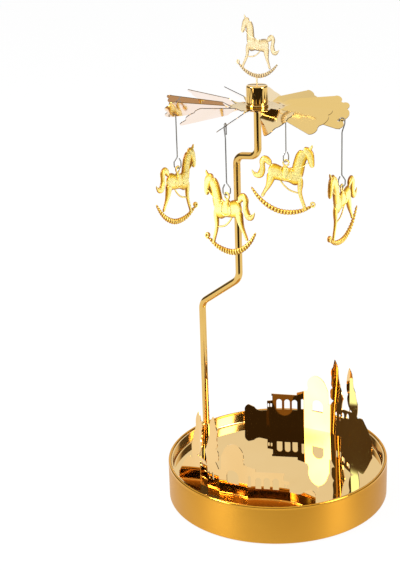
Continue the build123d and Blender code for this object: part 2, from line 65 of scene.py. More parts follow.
# Places read from the frame
TRAY_LOW, TRAY_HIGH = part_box("base_shell")
DISH_LOW, DISH_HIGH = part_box("mirror_dish")
ROD_LOW, ROD_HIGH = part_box("lower_rod")
NEEDLE_LOW, NEEDLE_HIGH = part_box("pivot_needle")
SOCKET_LOW, SOCKET_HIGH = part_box("rod_socket")
CUP_LOW, CUP_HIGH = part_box("hub_cap")
COLLAR_LOW, COLLAR_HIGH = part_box("hub_collar")
FINIAL_LOW, FINIAL_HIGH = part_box("finial_horse")
HUB = (NEEDLE_LOW + NEEDLE_HIGH) / 2
MAST = (ROD_LOW + ROD_HIGH) / 2


def srgb(hex_code):
    """Linear colour of a six-digit screen colour."""
    channels = [int(hex_code[k:k + 2], 16) / 255 for k in (0, 2, 4)]
    return tuple(c / 12.92 if c <= 0.04045 else ((c + 0.055) / 1.055) ** 2.4 for c in channels)


def length(name, description, default):
    return FloatProperty(name=name, description=description, default=default, min=0.0, unit="LENGTH")


def angle(name, description, degrees):
    return FloatProperty(name=name, description=description, default=radians(degrees), subtype="ANGLE")


def colour(name, description, hex_code):
    return FloatVectorProperty(
        name=name, description=description, default=srgb(hex_code), subtype="COLOR", size=3, min=0.0, max=1.0
    )


def share(name, description, default):
    return FloatProperty(name=name, description=description, default=default, min=0.0, max=1.0, subtype="FACTOR")


# ---- Meshes ----


def heal(mesh):
    """Merge a mesh's doubles, turn its faces outward and shade them smooth."""
    shape = bmesh.new()
    shape.from_mesh(mesh)
    bmesh.ops.remove_doubles(shape, verts=shape.verts, dist=MERGE)
    bmesh.ops.dissolve_degenerate(shape, edges=shape.edges, dist=MERGE / 10)
    bmesh.ops.recalc_face_normals(shape, faces=shape.faces)
    shape.to_mesh(mesh)
    shape.free()
    mesh.polygons.foreach_set("use_smooth", np.ones(len(mesh.polygons), bool))


def clean_mesh(name, points, faces):
    """A healed mesh from arrays, with its corners sharp."""
    mesh = bpy.data.meshes.new(name)
    mesh.from_pydata(np.asarray(points, float).reshape(-1, 3).tolist(), [], np.asarray(faces).tolist())
    heal(mesh)
    mesh.set_sharp_from_angle(angle=CORNER)
    return mesh


def place(mesh, material, body, *nodes, slot=None):
    """Put a finished mesh in the scene, on its body, in place of the CAD nodes that it stands for."""
    piece = bpy.data.objects.new(mesh.name, mesh)
    bpy.context.scene.collection.objects.link(piece)
    piece.data.materials.append(material)
    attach(piece, body)
    if nodes:
        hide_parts(*nodes)
    return piece


def finish_nodes(material, *names):
    """Give CAD nodes a material."""
    for name in names:
        slots = frame["nodes"][name].data.materials
        slots.clear()
        slots.append(material)


def grid_faces(rows, cols, wrap_rows=False, wrap_cols=False):
    """Quads of a rows by cols grid of points, joined round where it wraps."""
    i = np.arange(rows if wrap_rows else rows - 1)[:, None]
    j = np.arange(cols if wrap_cols else cols - 1)[None, :]
    i2, j2 = (i + 1) % rows, (j + 1) % cols
    quads = np.stack([i * cols + j, i * cols + j2, i2 * cols + j2, i2 * cols + j], -1)
    return quads.reshape(-1, 4)


def rounded(corners, radii, steps=8):
    """An outline through corners with each corner turned by an arc of its radius: runs, and arcs whose
    points are centre + radius * (cos, sin) between the two tangent points."""
    corners = [np.asarray(c, float) for c in corners]
    line = [corners[0]]
    for before, here, after, radius in zip(corners, corners[1:], corners[2:], radii):
        if radius <= 0:
            line.append(here)
            continue
        a = (before - here) / np.linalg.norm(before - here)
        b = (after - here) / np.linalg.norm(after - here)
        half = np.arccos(np.clip(a @ b, -1, 1)) / 2
        centre = here + (a + b) / np.linalg.norm(a + b) * radius / sin(half)
        start = here + a * radius / np.tan(half) - centre
        end = here + b * radius / np.tan(half) - centre
        turn = pi - 2 * half
        side = (end - start * cos(turn)) / sin(turn)
        t = np.linspace(0, turn, steps + 1)[:, None]
        line.extend(centre + start * np.cos(t) + side * np.sin(t))
    line.append(corners[-1])
    return np.array(line)


def revolve(name, profile, centre, turns):
    """A closed profile of (radius, height) turned about the upright through centre:
    (x, y, z) = (cx + r cos a, cy + r sin a, h)."""
    profile = np.asarray(profile, float)
    a = np.linspace(0, 2 * pi, turns, endpoint=False)[:, None]
    points = np.stack([
        centre[0] + profile[None, :, 0] * np.cos(a),
        centre[1] + profile[None, :, 0] * np.sin(a),
        np.broadcast_to(profile[None, :, 1], (turns, len(profile))),
    ], -1)
    return clean_mesh(name, points, grid_faces(turns, len(profile), True, True))


def closed_tube(name, path, radius, sides=48):
    """A round tube along a flat path: point = path + radius * (cos t * across + sin t * up), where across
    is the normal of the path's plane. Its end rings are drawn in to a point, which closes it flat."""
    path = np.asarray(path, float)
    along = np.gradient(path, axis=0)
    along /= np.linalg.norm(along, axis=1)[:, None]
    across = np.linalg.svd(path - path.mean(0))[2][2]
    across = across - along * (along @ across)[:, None]
    across /= np.linalg.norm(across, axis=1)[:, None]
    up = np.cross(along, across)
    t = np.linspace(0, 2 * pi, sides, endpoint=False)[None, :, None]
    rings = path[:, None] + radius * (np.cos(t) * across[:, None] + np.sin(t) * up[:, None])
    first = np.broadcast_to(path[:1, None], (1, sides, 3))
    last = np.broadcast_to(path[-1:, None], (1, sides, 3))
    rings = np.concatenate([first, rings, last])
    return clean_mesh(name, rings, grid_faces(len(rings), sides, False, True))


def through(controls, rows):
    """A smooth curve through control rows (Catmull-Rom): on each stretch a cubic of the two rows before
    and the two after it."""
    c = np.asarray(controls, float)
    c = np.vstack([2 * c[0] - c[1], c, 2 * c[-1] - c[-2]])
    u = np.linspace(0, len(c) - 3, rows)
    i = np.minimum(u.astype(int), len(c) - 4)
    f = (u - i)[:, None]
    a, b, d, e = c[i], c[i + 1], c[i + 2], c[i + 3]
    return 0.5 * (2 * b + (d - a) * f + (2 * a - 5 * b + 4 * d - e) * f ** 2 + (3 * b - a - 3 * d + e) * f ** 3)


def limb(controls, proud=0.0, cap=0.12, rows=36, sides=16, ribs=0):
    """An embossed limb: a lens section carried along a flat curve. With half-width w and half-thickness d,
    point = (curve + w cos t * side, d sin t). Both draw in over the caps as a quarter ellipse, and between
    ribs they sink as sin squared along the curve. Returns points, faces and how near the edge each point is."""
    line = through(controls, rows)
    u = np.linspace(0, 1, rows)
    near_end = np.clip(np.minimum(u, 1 - u) / cap, 0, 1)
    draw = np.sqrt(1 - (1 - near_end) ** 2)
    sink = RIB_DEPTH * np.sin(pi * ribs * u) ** 2
    w = line[:, 2] * draw * (1 - sink * RIB_PINCH)
    d = (np.minimum(DOME_MOST, DOME_SHARE * line[:, 2] + DOME_LEAST) + proud) * draw * (1 - sink)
    along = np.gradient(line[:, :2], axis=0)
    along /= np.linalg.norm(along, axis=1)[:, None]
    side = np.stack([-along[:, 1], along[:, 0]], -1)
    t = np.linspace(0, 2 * pi, sides, endpoint=False)
    flat = line[:, None, :2] + side[:, None] * (w[:, None] * np.cos(t))[..., None]
    points = np.concatenate([flat, (d[:, None] * np.sin(t))[..., None]], -1)
    edge = np.abs(np.cos(t)) ** 3 * np.ones((rows, 1))
    # Between the ribs counts as near the edge, so the edge tone, painted shade on the hanging horses, falls there
    # as well
    edge = np.maximum(edge, sink[:, None] / RIB_DEPTH)
    return points.reshape(-1, 3), grid_faces(rows, sides, False, True), edge.ravel()


def coil(centre, radii, angles, half, count):
    """Controls of a limb along a spiral about a centre, between two radii and two angles."""
    a = np.linspace(*angles, count)[:, None]
    r = np.linspace(*radii, count)[:, None]
    return np.hstack([centre[0] + r * np.cos(a), centre[1] + r * np.sin(a), 0 * a + half])


def join(parts):
    """Several limbs as one: their points, faces and edge values."""
    starts = np.cumsum([0] + [len(points) for points, faces, edge in parts[:-1]])
    return (
        np.concatenate([points for points, faces, edge in parts]),
        np.concatenate([faces + start for (points, faces, edge), start in zip(parts, starts)]),
        np.concatenate([edge for points, faces, edge in parts]),
    )


# ---- Shaders ----


class Val:
    """A shader socket that takes part in sums: each operator adds its Math node."""

    def __init__(self, graph, socket):
        self.graph = graph
        self.socket = socket

    def _math(self, operation, *values):
        return self.graph.add("ShaderNodeMath", {"operation": operation}, *values)

    def __add__(self, other):
        return self._math("ADD", self, other)

    def __radd__(self, other):
        return self._math("ADD", other, self)

    def __sub__(self, other):
        return self._math("SUBTRACT", self, other)

    def __rsub__(self, other):
        return self._math("SUBTRACT", other, self)

    def __mul__(self, other):
        return self._math("MULTIPLY", self, other)

    def __rmul__(self, other):
        return self._math("MULTIPLY", other, self)

    def __truediv__(self, other):
        return self._math("DIVIDE", self, other)

    def power(self, other):
        return self._math("POWER", self, other)

    def least(self, other):
        return self._math("MINIMUM", self, other)

    def most(self, other):
        return self._math("MAXIMUM", self, other)

    def smooth(self, low, high):
        """0 below low, 1 above high, smooth between."""
        return self.graph.add("ShaderNodeMapRange", {"interpolation_type": "SMOOTHSTEP"}, self, low, high, 0.0, 1.0)

    def band(self, low, high):
        """1 between two edges, each smooth from its first value to its second."""
        return self.smooth(*low) * (1.0 - self.smooth(*high))


class Graph:
    """A material's or world's nodes, added one at a time."""

    def __init__(self, owner):
        owner.use_nodes = True
        self.tree = owner.node_tree
        self.tree.nodes.clear()

    def add(self, kind, settings=None, *values, out=0, **named):
        """Add a node, set its settings, then feed its sockets by order or by name. Returns one output."""
        node = self.tree.nodes.new(kind)
        for key, value in (settings or {}).items():
            setattr(node, key, value)
        for key, value in list(enumerate(values)) + list(named.items()):
            socket = node.inputs[key]
            if isinstance(value, Val):
                self.tree.links.new(value.socket, socket)
            elif value is not None:
                socket.default_value = (*value, 1.0) if socket.type == "RGBA" and len(value) == 3 else value
        return Val(self, node.outputs[out])

    def mix(self, factor, one, two):
        """Two colours mixed by a factor."""
        node = self.tree.nodes.new("ShaderNodeMix")
        node.data_type = "RGBA"
        for key, value in ((0, factor), (6, one), (7, two)):
            if isinstance(value, Val):
                self.tree.links.new(value.socket, node.inputs[key])
            else:
                node.inputs[key].default_value = value if key == 0 else (*value, 1.0)
        return Val(self, node.outputs[2])

    def place(self):
        """Where a point is on its object, in metres."""
        return self.add("ShaderNodeTexCoord", None, out=3)

    def split(self, vector):
        node = self.tree.nodes.new("ShaderNodeSeparateXYZ")
        self.tree.links.new(vector.socket, node.inputs[0])
        return [Val(self, node.outputs[k]) for k in range(3)]

    def noise(self, scale, detail=3.0, stretch=None):
        where = self.place()
        if stretch:
            where = self.add("ShaderNodeMapping", None, where, Scale=stretch)
        return self.add("ShaderNodeTexNoise", None, where, Scale=scale, Detail=detail)

    def attribute(self, name):
        return self.add("ShaderNodeAttribute", {"attribute_name": name}, out=2)

    def bump(self, height, strength, distance=0.0001):
        return self.add("ShaderNodeBump", None, Strength=strength, Distance=distance, Height=height)

    def surface(self, shader, output="ShaderNodeOutputMaterial"):
        self.tree.links.new(shader.socket, self.tree.nodes.new(output).inputs["Surface"])

    def metal(self, base, rough, normal=None, metallic=1.0, stretch=0.0):
        """A metal surface, its reflections stretched across lines that run round Z."""
        self.surface(self.add("ShaderNodeBsdfPrincipled", None, **{
            "Base Color": base, "Roughness": rough, "Metallic": metallic, "Normal": normal,
            "Anisotropic": stretch, "Anisotropic Rotation": QUARTER_TURN,
        }))


WHITE = (1.0, 1.0, 1.0)
QUARTER_TURN = 0.25
# Where polished sheet turns to satin: over what height, and how much rougher it gets
SATIN_RISE = 0.6 * MM
SATIN_ROUGHNESS = 0.11
# The fan's cut edges, by the square of how far up they face: below the first value, while its blades are above
# the second
CUT_EDGE = (0.36, 0.50)
# Painted shade on the fan's cut edges
CUT_EDGE_SHADE = srgb("74582E")


def start_material(name):
    material = bpy.data.materials.new(name)
    return material, Graph(material)


def polished(name, tone, deep, roughness, haze=0.03, warp=0.0, satin_above=None):
    """Polished sheet: its colour drifts a little towards a deeper tone, with smudges and hairline scratches.
    Above a height it may turn to satin."""
    material, g = start_material(name)
    cloud = g.noise(38.0, 2.0)
    wave = g.noise(26.0, 1.0)
    smudge = g.noise(210.0, 4.0)
    hairline = g.noise(900.0, 1.0, stretch=(1.0, 0.06, 1.0)).smooth(0.66, 0.70)
    base = g.mix(cloud.smooth(0.35, 0.75) * 0.35, tone, deep)
    rough = (smudge.smooth(0.45, 0.8) * haze + hairline * 0.03 + roughness).most(0.01)
    if satin_above is not None:
        height = g.split(g.place())[2]
        rough = rough + height.smooth(satin_above, satin_above + SATIN_RISE) * SATIN_ROUGHNESS
    g.metal(base, rough, g.bump(wave, warp, 0.001) if warp else None)
    return material


def brushed(name, tone, deep, roughness):
    """Satin drum: fine turned lines round the wall, a slow drift of tone, and a brighter polish along the rim."""
    material, g = start_material(name)
    height = g.split(g.place())[2]
    lines = g.noise(2600.0, 2.0, stretch=(0.02, 0.02, 1.0))
    cloud = g.noise(24.0, 2.0)
    rim = height.smooth(TRAY_HIGH.z - 1.6 * MM, TRAY_HIGH.z - 0.7 * MM)
    base = g.mix(cloud.smooth(0.3, 0.8) * 0.5, tone, deep)
    rough = lines * 0.08 + (roughness - 0.04) - rim * (roughness - 0.10)
    g.metal(base, rough, g.bump(lines, 0.05, 0.00002), stretch=0.8)
    return material


def two_faced(name, top, under, roughness):
    """Fan sheet: gold on its upper side, a paler tone on its underside that is a painted reflection of the white
    table, with soft polishing clouds, and painted shade, dark brown, at its cut edges, which stand steeper than any
    blade's faces."""
    material, g = start_material(name)
    upward = g.split(g.add("ShaderNodeNewGeometry", None, out=1))[2]
    cloud = g.noise(55.0, 3.0).smooth(0.35, 0.8)
    smudge = g.noise(260.0, 3.0)
    # The paler underside is a painted reflection of the white table
    face = g.mix(upward.smooth(-0.25, 0.25), under, top)
    base = g.mix(cloud * 0.22, face, top)
    # Painted shade on the cut edges
    base = g.mix(1.0 - (upward * upward).smooth(*CUT_EDGE), base, CUT_EDGE_SHADE)
    g.metal(base, smudge * 0.04 + roughness)
    return material


def stamped(name, crest, bright, deep, roughness, metallic, groove):
    """Pressed figure: palest on what stands proud, deeper towards its edges and between its ribs, with a fine
    orange-peel surface. On the hanging horses the palest tone is a painted highlight and the deeper edges are
    painted shade; on the finial they are its pale sheet and its etched edges."""
    material, g = start_material(name)
    edge = g.attribute("edge")
    cloud = g.noise(160.0, 3.0)
    peel = g.noise(900.0, 2.0)
    # Palest on what stands proud: a painted highlight on the horses
    base = g.mix(edge.smooth(0.0, 0.3), crest, bright)
    # Deeper towards the edges and between the ribs, painted shade on the horses, with random darker patches; groove
    # sets how much
    base = g.mix((edge.smooth(0.2, 0.85) * groove + cloud.smooth(0.45, 0.75) * 0.2).least(1.0), base, deep)
    g.metal(base, cloud * 0.12 + roughness, g.bump(peel, 0.05, 0.00004), metallic)
    return material


def plain_metal(name, tone, deep, roughness):
    """Turned or drawn steel with light haze."""
    material, g = start_material(name)
    cloud = g.noise(120.0, 3.0)
    g.metal(g.mix(cloud.smooth(0.3, 0.8) * 0.6, tone, deep), cloud * 0.1 + roughness)
    return material


def felt(name, tone, deep):
    """Pressed felt: matted fibres."""
    material, g = start_material(name)
    fibre = g.noise(1800.0, 4.0, stretch=(1.0, 0.4, 1.0))
    mat = g.noise(300.0, 3.0)
    g.metal(g.mix(mat, tone, deep), fibre * 0.1 + 0.85, g.bump(fibre, 0.6), metallic=0.0)
    return material


# The studio that reflections show. A direction's parts ahead of the model, back from it and to its left are
# shares of its level length, and z is its height. Each pair is where one edge starts and ends.
FRONT_AHEAD = (0.62, 0.70)
FLANK_AHEAD = (0.30, 0.40)
FLANK_BACK = (0.72, 0.86)
FLANK_DEPTH = 0.935
LEFT_HALF = (0.1, 0.3)
LEFT_FLANK_SHIFT = 0.215
DARK_TOP = (0.50, 0.62)
STRIPE_BACK = (0.80, 0.92)
STRIPE_Z = ((0.160, 0.170), (0.188, 0.198))
SOFTBOX_AHEAD = ((0.555, 0.575), (0.60, 0.68))
SOFTBOX_LEFT = (0.2, 0.4)
SOFTBOX_Z = ((0.10, 0.22), (0.476, 0.488))
SOFTBOX_POWER = 12.0
CARD_AHEAD = ((0.18, 0.22), (0.30, 0.34))
CARD_LEFT = (0.8, 0.9)
CARD_Z = ((0.422, 0.428), (0.458, 0.466))
CARD_POWER = 4.0
CARD_BLUE = (0.35, 0.66, 1.0)
ROOM_DARK = (0.046, 0.036, 0.026)


def studio_world():
    """A white room to the camera. In reflections, low down, the side where the camera stands and both flanks are
    dark, with a strong softbox between them on the left, a dark stripe behind and a small cool card at the left."""
    world = bpy.data.worlds.new("white_studio")
    bpy.context.scene.world = world
    g = Graph(world)
    x, y, z = g.split(g.add("ShaderNodeTexCoord", None, out=0))
    level = (x * x + y * y).power(0.5).most(0.001)
    ahead = (-1.0 * y) / level
    left = (-1.0 * x) / level
    back = -1.0 * ahead
    mirrored = 1.0 - g.add("ShaderNodeLightPath", None, out=0)
    front = ahead.smooth(*FRONT_AHEAD)
    flank_edge = ahead - left.smooth(*LEFT_HALF) * LEFT_FLANK_SHIFT
    flank = (1.0 - flank_edge.smooth(*FLANK_AHEAD)) * (1.0 - back.smooth(*FLANK_BACK)) * FLANK_DEPTH
    stripe = back.smooth(*STRIPE_BACK) * z.band(*STRIPE_Z)
    dark = (front.most(flank) * (1.0 - z.smooth(*DARK_TOP))).most(stripe) * mirrored
    softbox = ahead.band(*SOFTBOX_AHEAD) * left.smooth(*SOFTBOX_LEFT) * z.band(*SOFTBOX_Z) * mirrored
    card = ahead.band(*CARD_AHEAD) * left.smooth(*CARD_LEFT) * z.band(*CARD_Z) * mirrored
    tone = g.mix(card, g.mix(dark, WHITE, ROOM_DARK), CARD_BLUE)
    strength = softbox * SOFTBOX_POWER + card * CARD_POWER + 1.0
    g.surface(g.add("ShaderNodeBackground", None, tone, strength), "ShaderNodeOutputWorld")


# The table that reflections show, in metres from the model's middle: a dark lane in front, whose sides are where
# x squared over y squared is LANE_SPREAD, dark all over from further on, and a brown patch behind on the left.
LANE_START = (0.17, 0.26)
LANE_SPREAD = (0.30, 0.50)
FAR_START = (0.5, 0.75)
PATCH_LEFT = ((0.046, 0.050), (0.11, 0.12))
PATCH_BACK = ((0.122, 0.126), (0.155, 0.165))
PATCH_BROWN = (0.42, 0.21, 0.04)
TABLE_WHITE = (0.99, 0.99, 0.99)
TABLE_DARK = (0.03, 0.025, 0.02)
TABLE_GLOW = 0.92


def table_material():
    """A white table that keeps the shadow. In reflections it has a dark lane, a dark end and a brown patch."""
    material, g = start_material("white_table")
    x, y = g.split(g.place())[:2]
    seen = g.add("ShaderNodeLightPath", None, out=0)
    glossy = g.add("ShaderNodeLightPath", None, out=3)
    left, ahead = -1.0 * x, -1.0 * y
    lane = ahead.smooth(*LANE_START) * (1.0 - (x * x / (y * y).most(0.0001)).smooth(*LANE_SPREAD))
    dark = lane.most(ahead.smooth(*FAR_START)) * (1.0 - seen)
    patch = left.band(*PATCH_LEFT) * y.band(*PATCH_BACK) * (1.0 - seen)
    plain = g.add("ShaderNodeBsdfDiffuse", None, g.mix(dark, TABLE_WHITE, TABLE_DARK))
    glow = g.add("ShaderNodeEmission", None, g.mix(patch, g.mix(dark, WHITE, TABLE_DARK), PATCH_BROWN))
    g.surface(g.add("ShaderNodeMixShader", None, seen.most(glossy) * TABLE_GLOW, plain, glow))
    return material


LAMP_AIM = Vector((0, 0, 0.12))
LAMPS = (
    # name, place, size, power
    ("key_left", (-0.80, -0.26, 0.80), (0.25, 0.25), 11.0),
    ("fill_right", (0.68, -0.36, 0.5), (0.3, 0.6), 5.0),
)


def area_lamp(name, place_at, size, power):
    """A rectangular lamp turned to the model's lower half."""
    data = bpy.data.lights.new(name, "AREA")
    data.shape = "RECTANGLE"
    data.size, data.size_y = size
    data.energy = power
    lamp = bpy.data.objects.new(name, data)
    lamp.location = place_at
    lamp.rotation_euler = (LAMP_AIM - Vector(place_at)).to_track_quat("-Z", "Y").to_euler()
    bpy.context.scene.collection.objects.link(lamp)


# ---- Horse ----

# Curves of the pressed horse from its eye: ahead, up and half the width, as shares of its height
TORSO = [(-0.215, -0.155, 0.055), (-0.16, -0.15, 0.105), (-0.09, -0.152, 0.104), (0.0, -0.163, 0.084),
         (0.07, -0.15, 0.098), (0.14, -0.14, 0.125), (0.20, -0.135, 0.11), (0.238, -0.13, 0.06)]
THROAT = [(0.165, -0.17, 0.075), (0.168, -0.06, 0.082), (0.170, 0.05, 0.078), (0.183, 0.13, 0.078),
          (0.215, 0.20, 0.066)]
HEAD = [(0.19, 0.20, 0.055), (0.235, 0.205, 0.062), (0.275, 0.175, 0.060), (0.305, 0.12, 0.047),
        (0.325, 0.07, 0.038), (0.347, 0.015, 0.026)]
EAR = [(0.262, 0.235, 0.024), (0.28, 0.268, 0.018), (0.291, 0.308, 0.006)]
FORELEG = [(0.215, -0.14, 0.04), (0.235, -0.24, 0.038), (0.247, -0.33, 0.028), (0.285, -0.415, 0.024),
           (0.335, -0.50, 0.022), (0.366, -0.565, 0.024)]
HIND_LEG = [(-0.155, -0.17, 0.07), (-0.160, -0.27, 0.052), (-0.175, -0.36, 0.033), (-0.205, -0.44, 0.023),
            (-0.229, -0.52, 0.024)]
TAIL = [(-0.185, -0.085, 0.03), (-0.225, -0.035, 0.042), (-0.275, -0.012, 0.046), (-0.305, -0.05, 0.040),
        (-0.293, -0.11, 0.034), (-0.287, -0.17, 0.042), (-0.305, -0.232, 0.046), (-0.355, -0.25, 0.030),
        (-0.397, -0.222, 0.016), (-0.424, -0.187, 0.006)]
TAIL_HAIR = [(-0.20, -0.06, 0.010), (-0.25, -0.005, 0.011), (-0.295, -0.01, 0.011), (-0.325, -0.05, 0.010),
             (-0.306, -0.12, 0.010), (-0.30, -0.19, 0.011), (-0.335, -0.225, 0.010), (-0.385, -0.213, 0.006)]
GIRTH = [(-0.04, -0.235, 0.011), (0.03, -0.297, 0.011), (0.12, -0.343, 0.011), (0.24, -0.354, 0.011)]
ROCKER = [(-0.388, -0.421, 0.014), (-0.28, -0.523, 0.026), (-0.14, -0.607, 0.034), (0.02, -0.647, 0.037),
          (0.17, -0.632, 0.036), (0.31, -0.577, 0.030), (0.43, -0.487, 0.020)]
SADDLE = [(0.02, -0.055, 0.050), (0.022, -0.10, 0.066), (0.025, -0.16, 0.072), (0.028, -0.205, 0.050)]
SADDLE_RIM = [(-0.045, -0.060, 0.008), (-0.052, -0.12, 0.009), (-0.052, -0.185, 0.009), (0.03, -0.222, 0.009),
              (0.108, -0.185, 0.009), (0.088, -0.12, 0.009), (0.088, -0.045, 0.008)]
BREAST_STRAP = [(0.10, -0.10, 0.009), (0.17, -0.115, 0.009), (0.235, -0.10, 0.009)]
REINS = [(0.300, 0.095, 0.007), (0.225, 0.01, 0.007), (0.15, -0.035, 0.007), (0.085, -0.055, 0.007)]
NOSE_BAND = [(0.283, 0.085, 0.008), (0.312, 0.095, 0.008), (0.345, 0.105, 0.008)]
CHEEK_STRAP = [(0.235, 0.255, 0.007), (0.262, 0.19, 0.007), (0.298, 0.095, 0.007)]
HOLDER = [(0.0, -0.045, 0.034), (0.0, -0.09, 0.040)]
MANE_LOCK = np.array([(0.0, 0.0, 0.006), (0.018, -0.006, 0.010), (0.032, -0.026, 0.009), (0.036, -0.056, 0.004)])
# Where each lock of the mane grows, from the withers up, and how many degrees each one swings past the last
CREST = [(0.118, -0.01), (0.118, 0.04), (0.122, 0.09), (0.130, 0.14), (0.142, 0.18), (0.166, 0.212),
         (0.196, 0.228)]
LOCK_SWING = -6
SCROLL_CENTRE = (0.438, -0.457)
SCROLL_RADII = (0.036, 0.010)
SCROLL_ANGLES = (-0.6 * pi, 1.9 * pi)
EYE_RADIUS = 0.037
HANG_DIP = radians(11.18)

# How far limbs stand proud: a share of their half-width and a little more, up to a most. Between a rocker's ribs
# they sink by a share of that, and their width by a share of the sinking.
DOME_SHARE = 0.55
DOME_LEAST = 0.002
DOME_MOST = 0.026
RIB_DEPTH = 0.5
RIB_PINCH = 0.4


def horse_arrays(ribs, thickness, hung):
    """The whole horse at unit height: its limbs, straps and mane locks, each an embossed limb, and its
    scroll and eye, which are limbs along a spiral and a circle. Thickness scales what stands proud."""
    scroll = coil(SCROLL_CENTRE, SCROLL_RADII, SCROLL_ANGLES, 0.012, 14)
    parts = [
        limb(TORSO), limb(THROAT), limb(HEAD, 0.004), limb(EAR, 0.004), limb(FORELEG, 0.002), limb(HIND_LEG, 0.002),
        limb(TAIL), limb(TAIL_HAIR, 0.018), limb(GIRTH), limb(ROCKER, 0.004, cap=0.03, rows=12 * ribs, ribs=ribs),
        limb(SADDLE, 0.005), limb(SADDLE_RIM, 0.026), limb(BREAST_STRAP, 0.022), limb(REINS, 0.024),
        limb(NOSE_BAND, 0.024), limb(CHEEK_STRAP, 0.024), limb(scroll, 0.012),
    ]
    for k, root in enumerate(CREST):
        swing = radians(LOCK_SWING * k)
        turned = MANE_LOCK[:, :2] @ np.array([[cos(swing), sin(swing)], [-sin(swing), cos(swing)]])
        parts.append(limb(np.column_stack([turned + root, MANE_LOCK[:, 2]]), 0.020, cap=0.2))
    if hung:
        eye = coil((0, 0), (EYE_RADIUS, EYE_RADIUS), (0, 2 * pi), 0.0115, 15)
        parts.extend([limb(eye, 0.002, cap=0.01), limb(HOLDER)])
    points, faces, edge = join(parts)
    points[:, 2] *= thickness
    return points, faces, edge


def horse_mesh(name, points, faces, edge, height, centre, heading, dip):
    """The horse set upright on a heading through its eye's centre, dipped at the nose, as a mesh with its
    edge attribute: place = centre + height * (x ahead + y up + z aside)."""
    ahead = np.array([cos(dip) * cos(heading), cos(dip) * sin(heading), -sin(dip)])
    aside = np.array([sin(heading), -cos(heading), 0.0])
    up = np.cross(aside, ahead)
    placed = np.asarray(centre) + height * (points @ np.stack([ahead, up, aside]))
    mesh = bpy.data.meshes.new(name)
    mesh.from_pydata(placed.tolist(), [], faces.tolist())
    mesh.attributes.new("edge", "FLOAT", "POINT").data.foreach_set("value", edge.astype(np.float32))
    heal(mesh)
    return mesh


# ---- Settings ----


class CarouselStage(bpy.types.PropertyGroup):
    floor_size: length("Floor size", "Side of the table", 6.0)
    camera_back: length("Camera back", "Distance in front", 0.53617)
    camera_up: length("Camera height", "Height above the table", 0.29014)
    camera_tilt: angle("Camera tilt", "Looking down", 19.507)
    camera_roll: angle("Camera roll", "Right side up", -0.7)
    lens: FloatProperty(name="Lens", description="Focal length in mm", default=81.96, min=1.0)
    shift: FloatProperty(name="Shift", description="Sideways shift of the frame", default=-0.1326)


class CarouselTray(bpy.types.PropertyGroup):
    foot_round: length("Foot rounding", "Radius under the wall", 0.8 * MM)
    dish_bend: length("Dish bend", "Radius between the mirror floor and its wall", 1.0 * MM)
    wall: colour("Wall", "Satin gold of the drum", "DCA038")
    wall_deep: colour("Wall, deep", "Deeper drift of the drum", "C28426")
    mirror: colour("Mirror", "Gold of the mirror dish", "E7C484")
    mirror_deep: colour("Mirror, deep", "Deeper drift of the mirror", "DFB872")
    roughness: share("Wall roughness", "Satin of the drum's wall", 0.42)


class CarouselMast(bpy.types.PropertyGroup):
    thick: length("Rod thickness", "Diameter of the mast", 3.2 * MM)
    gold: colour("Rod", "Gold of the mast", "E2BB6C")
    deep: colour("Rod, deep", "Deeper drift of the mast", "C9953E")
    roughness: share("Roughness", "Polish of the rod", 0.05)


class CarouselFan(bpy.types.PropertyGroup):
    top: colour("Top", "Gold of the blades' upper side", "E8C67C")
    # The pale underside is a painted reflection of the white table
    under: colour("Underside", "Pale underside of the blades", "F6E3D6")
    cup: colour("Cup", "Gold of the hub cup", "EDC678")
    roughness: share("Roughness", "Polish of the sheet", 0.04)


class CarouselTown(bpy.types.PropertyGroup):
    gold: colour("Sheet", "Mirror gold of the town strips", "EFC98B")
    deep: colour("Sheet, deep", "Deeper drift of the strips", "DDAE62")
    roughness: share("Roughness", "Polish of the strips", 0.02)


class CarouselHorses(bpy.types.PropertyGroup):
    height: length("Height", "Height of a hanging horse", 35.7 * MM)
    thickness: FloatProperty(name="Relief", description="How far the pressing stands proud", default=1.0, min=0.1)
    ribs: IntProperty(name="Rocker ribs", description="Ribs across the rocker", default=22, min=4, max=40)
    # The palest tone is a painted highlight on what stands proud and the deep tone painted shade at the edges and
    # between the ribs
    crest: colour("Crest", "Palest gold of what stands proud", "FFF29C")
    bright: colour("Bright", "Yellow gold of the relief", "FFD53A")
    deep: colour("Deep", "Orange gold of its edges", "9C5C08")
    roughness: share("Roughness", "Polish of the pressing", 0.20)
    metallic: share("Metallic", "Metal under its lacquer", 0.32)


class CarouselFinial(bpy.types.PropertyGroup):
    height: length("Height", "Height of the top horse", 26.0 * MM)
    thickness: FloatProperty(name="Relief", description="How far the etching stands proud", default=0.3, min=0.05)
    pale: colour("Pale", "Pale gold of the sheet", "EEDDB2")
    warm: colour("Warm", "Warmer tone beside its edges", "E2C88E")
    deep: colour("Etched", "Tone of the etched edges", "86705A")
    stem: length("Stem", "Width of the stem", 0.9 * MM)


class CarouselHangers(bpy.types.PropertyGroup):
    steel: colour("Wire", "Steel of the hanger wires", "A8A6A2")
    deep: colour("Wire, deep", "Darker drift of the wire", "6F6C68")


# ---- Operators ----


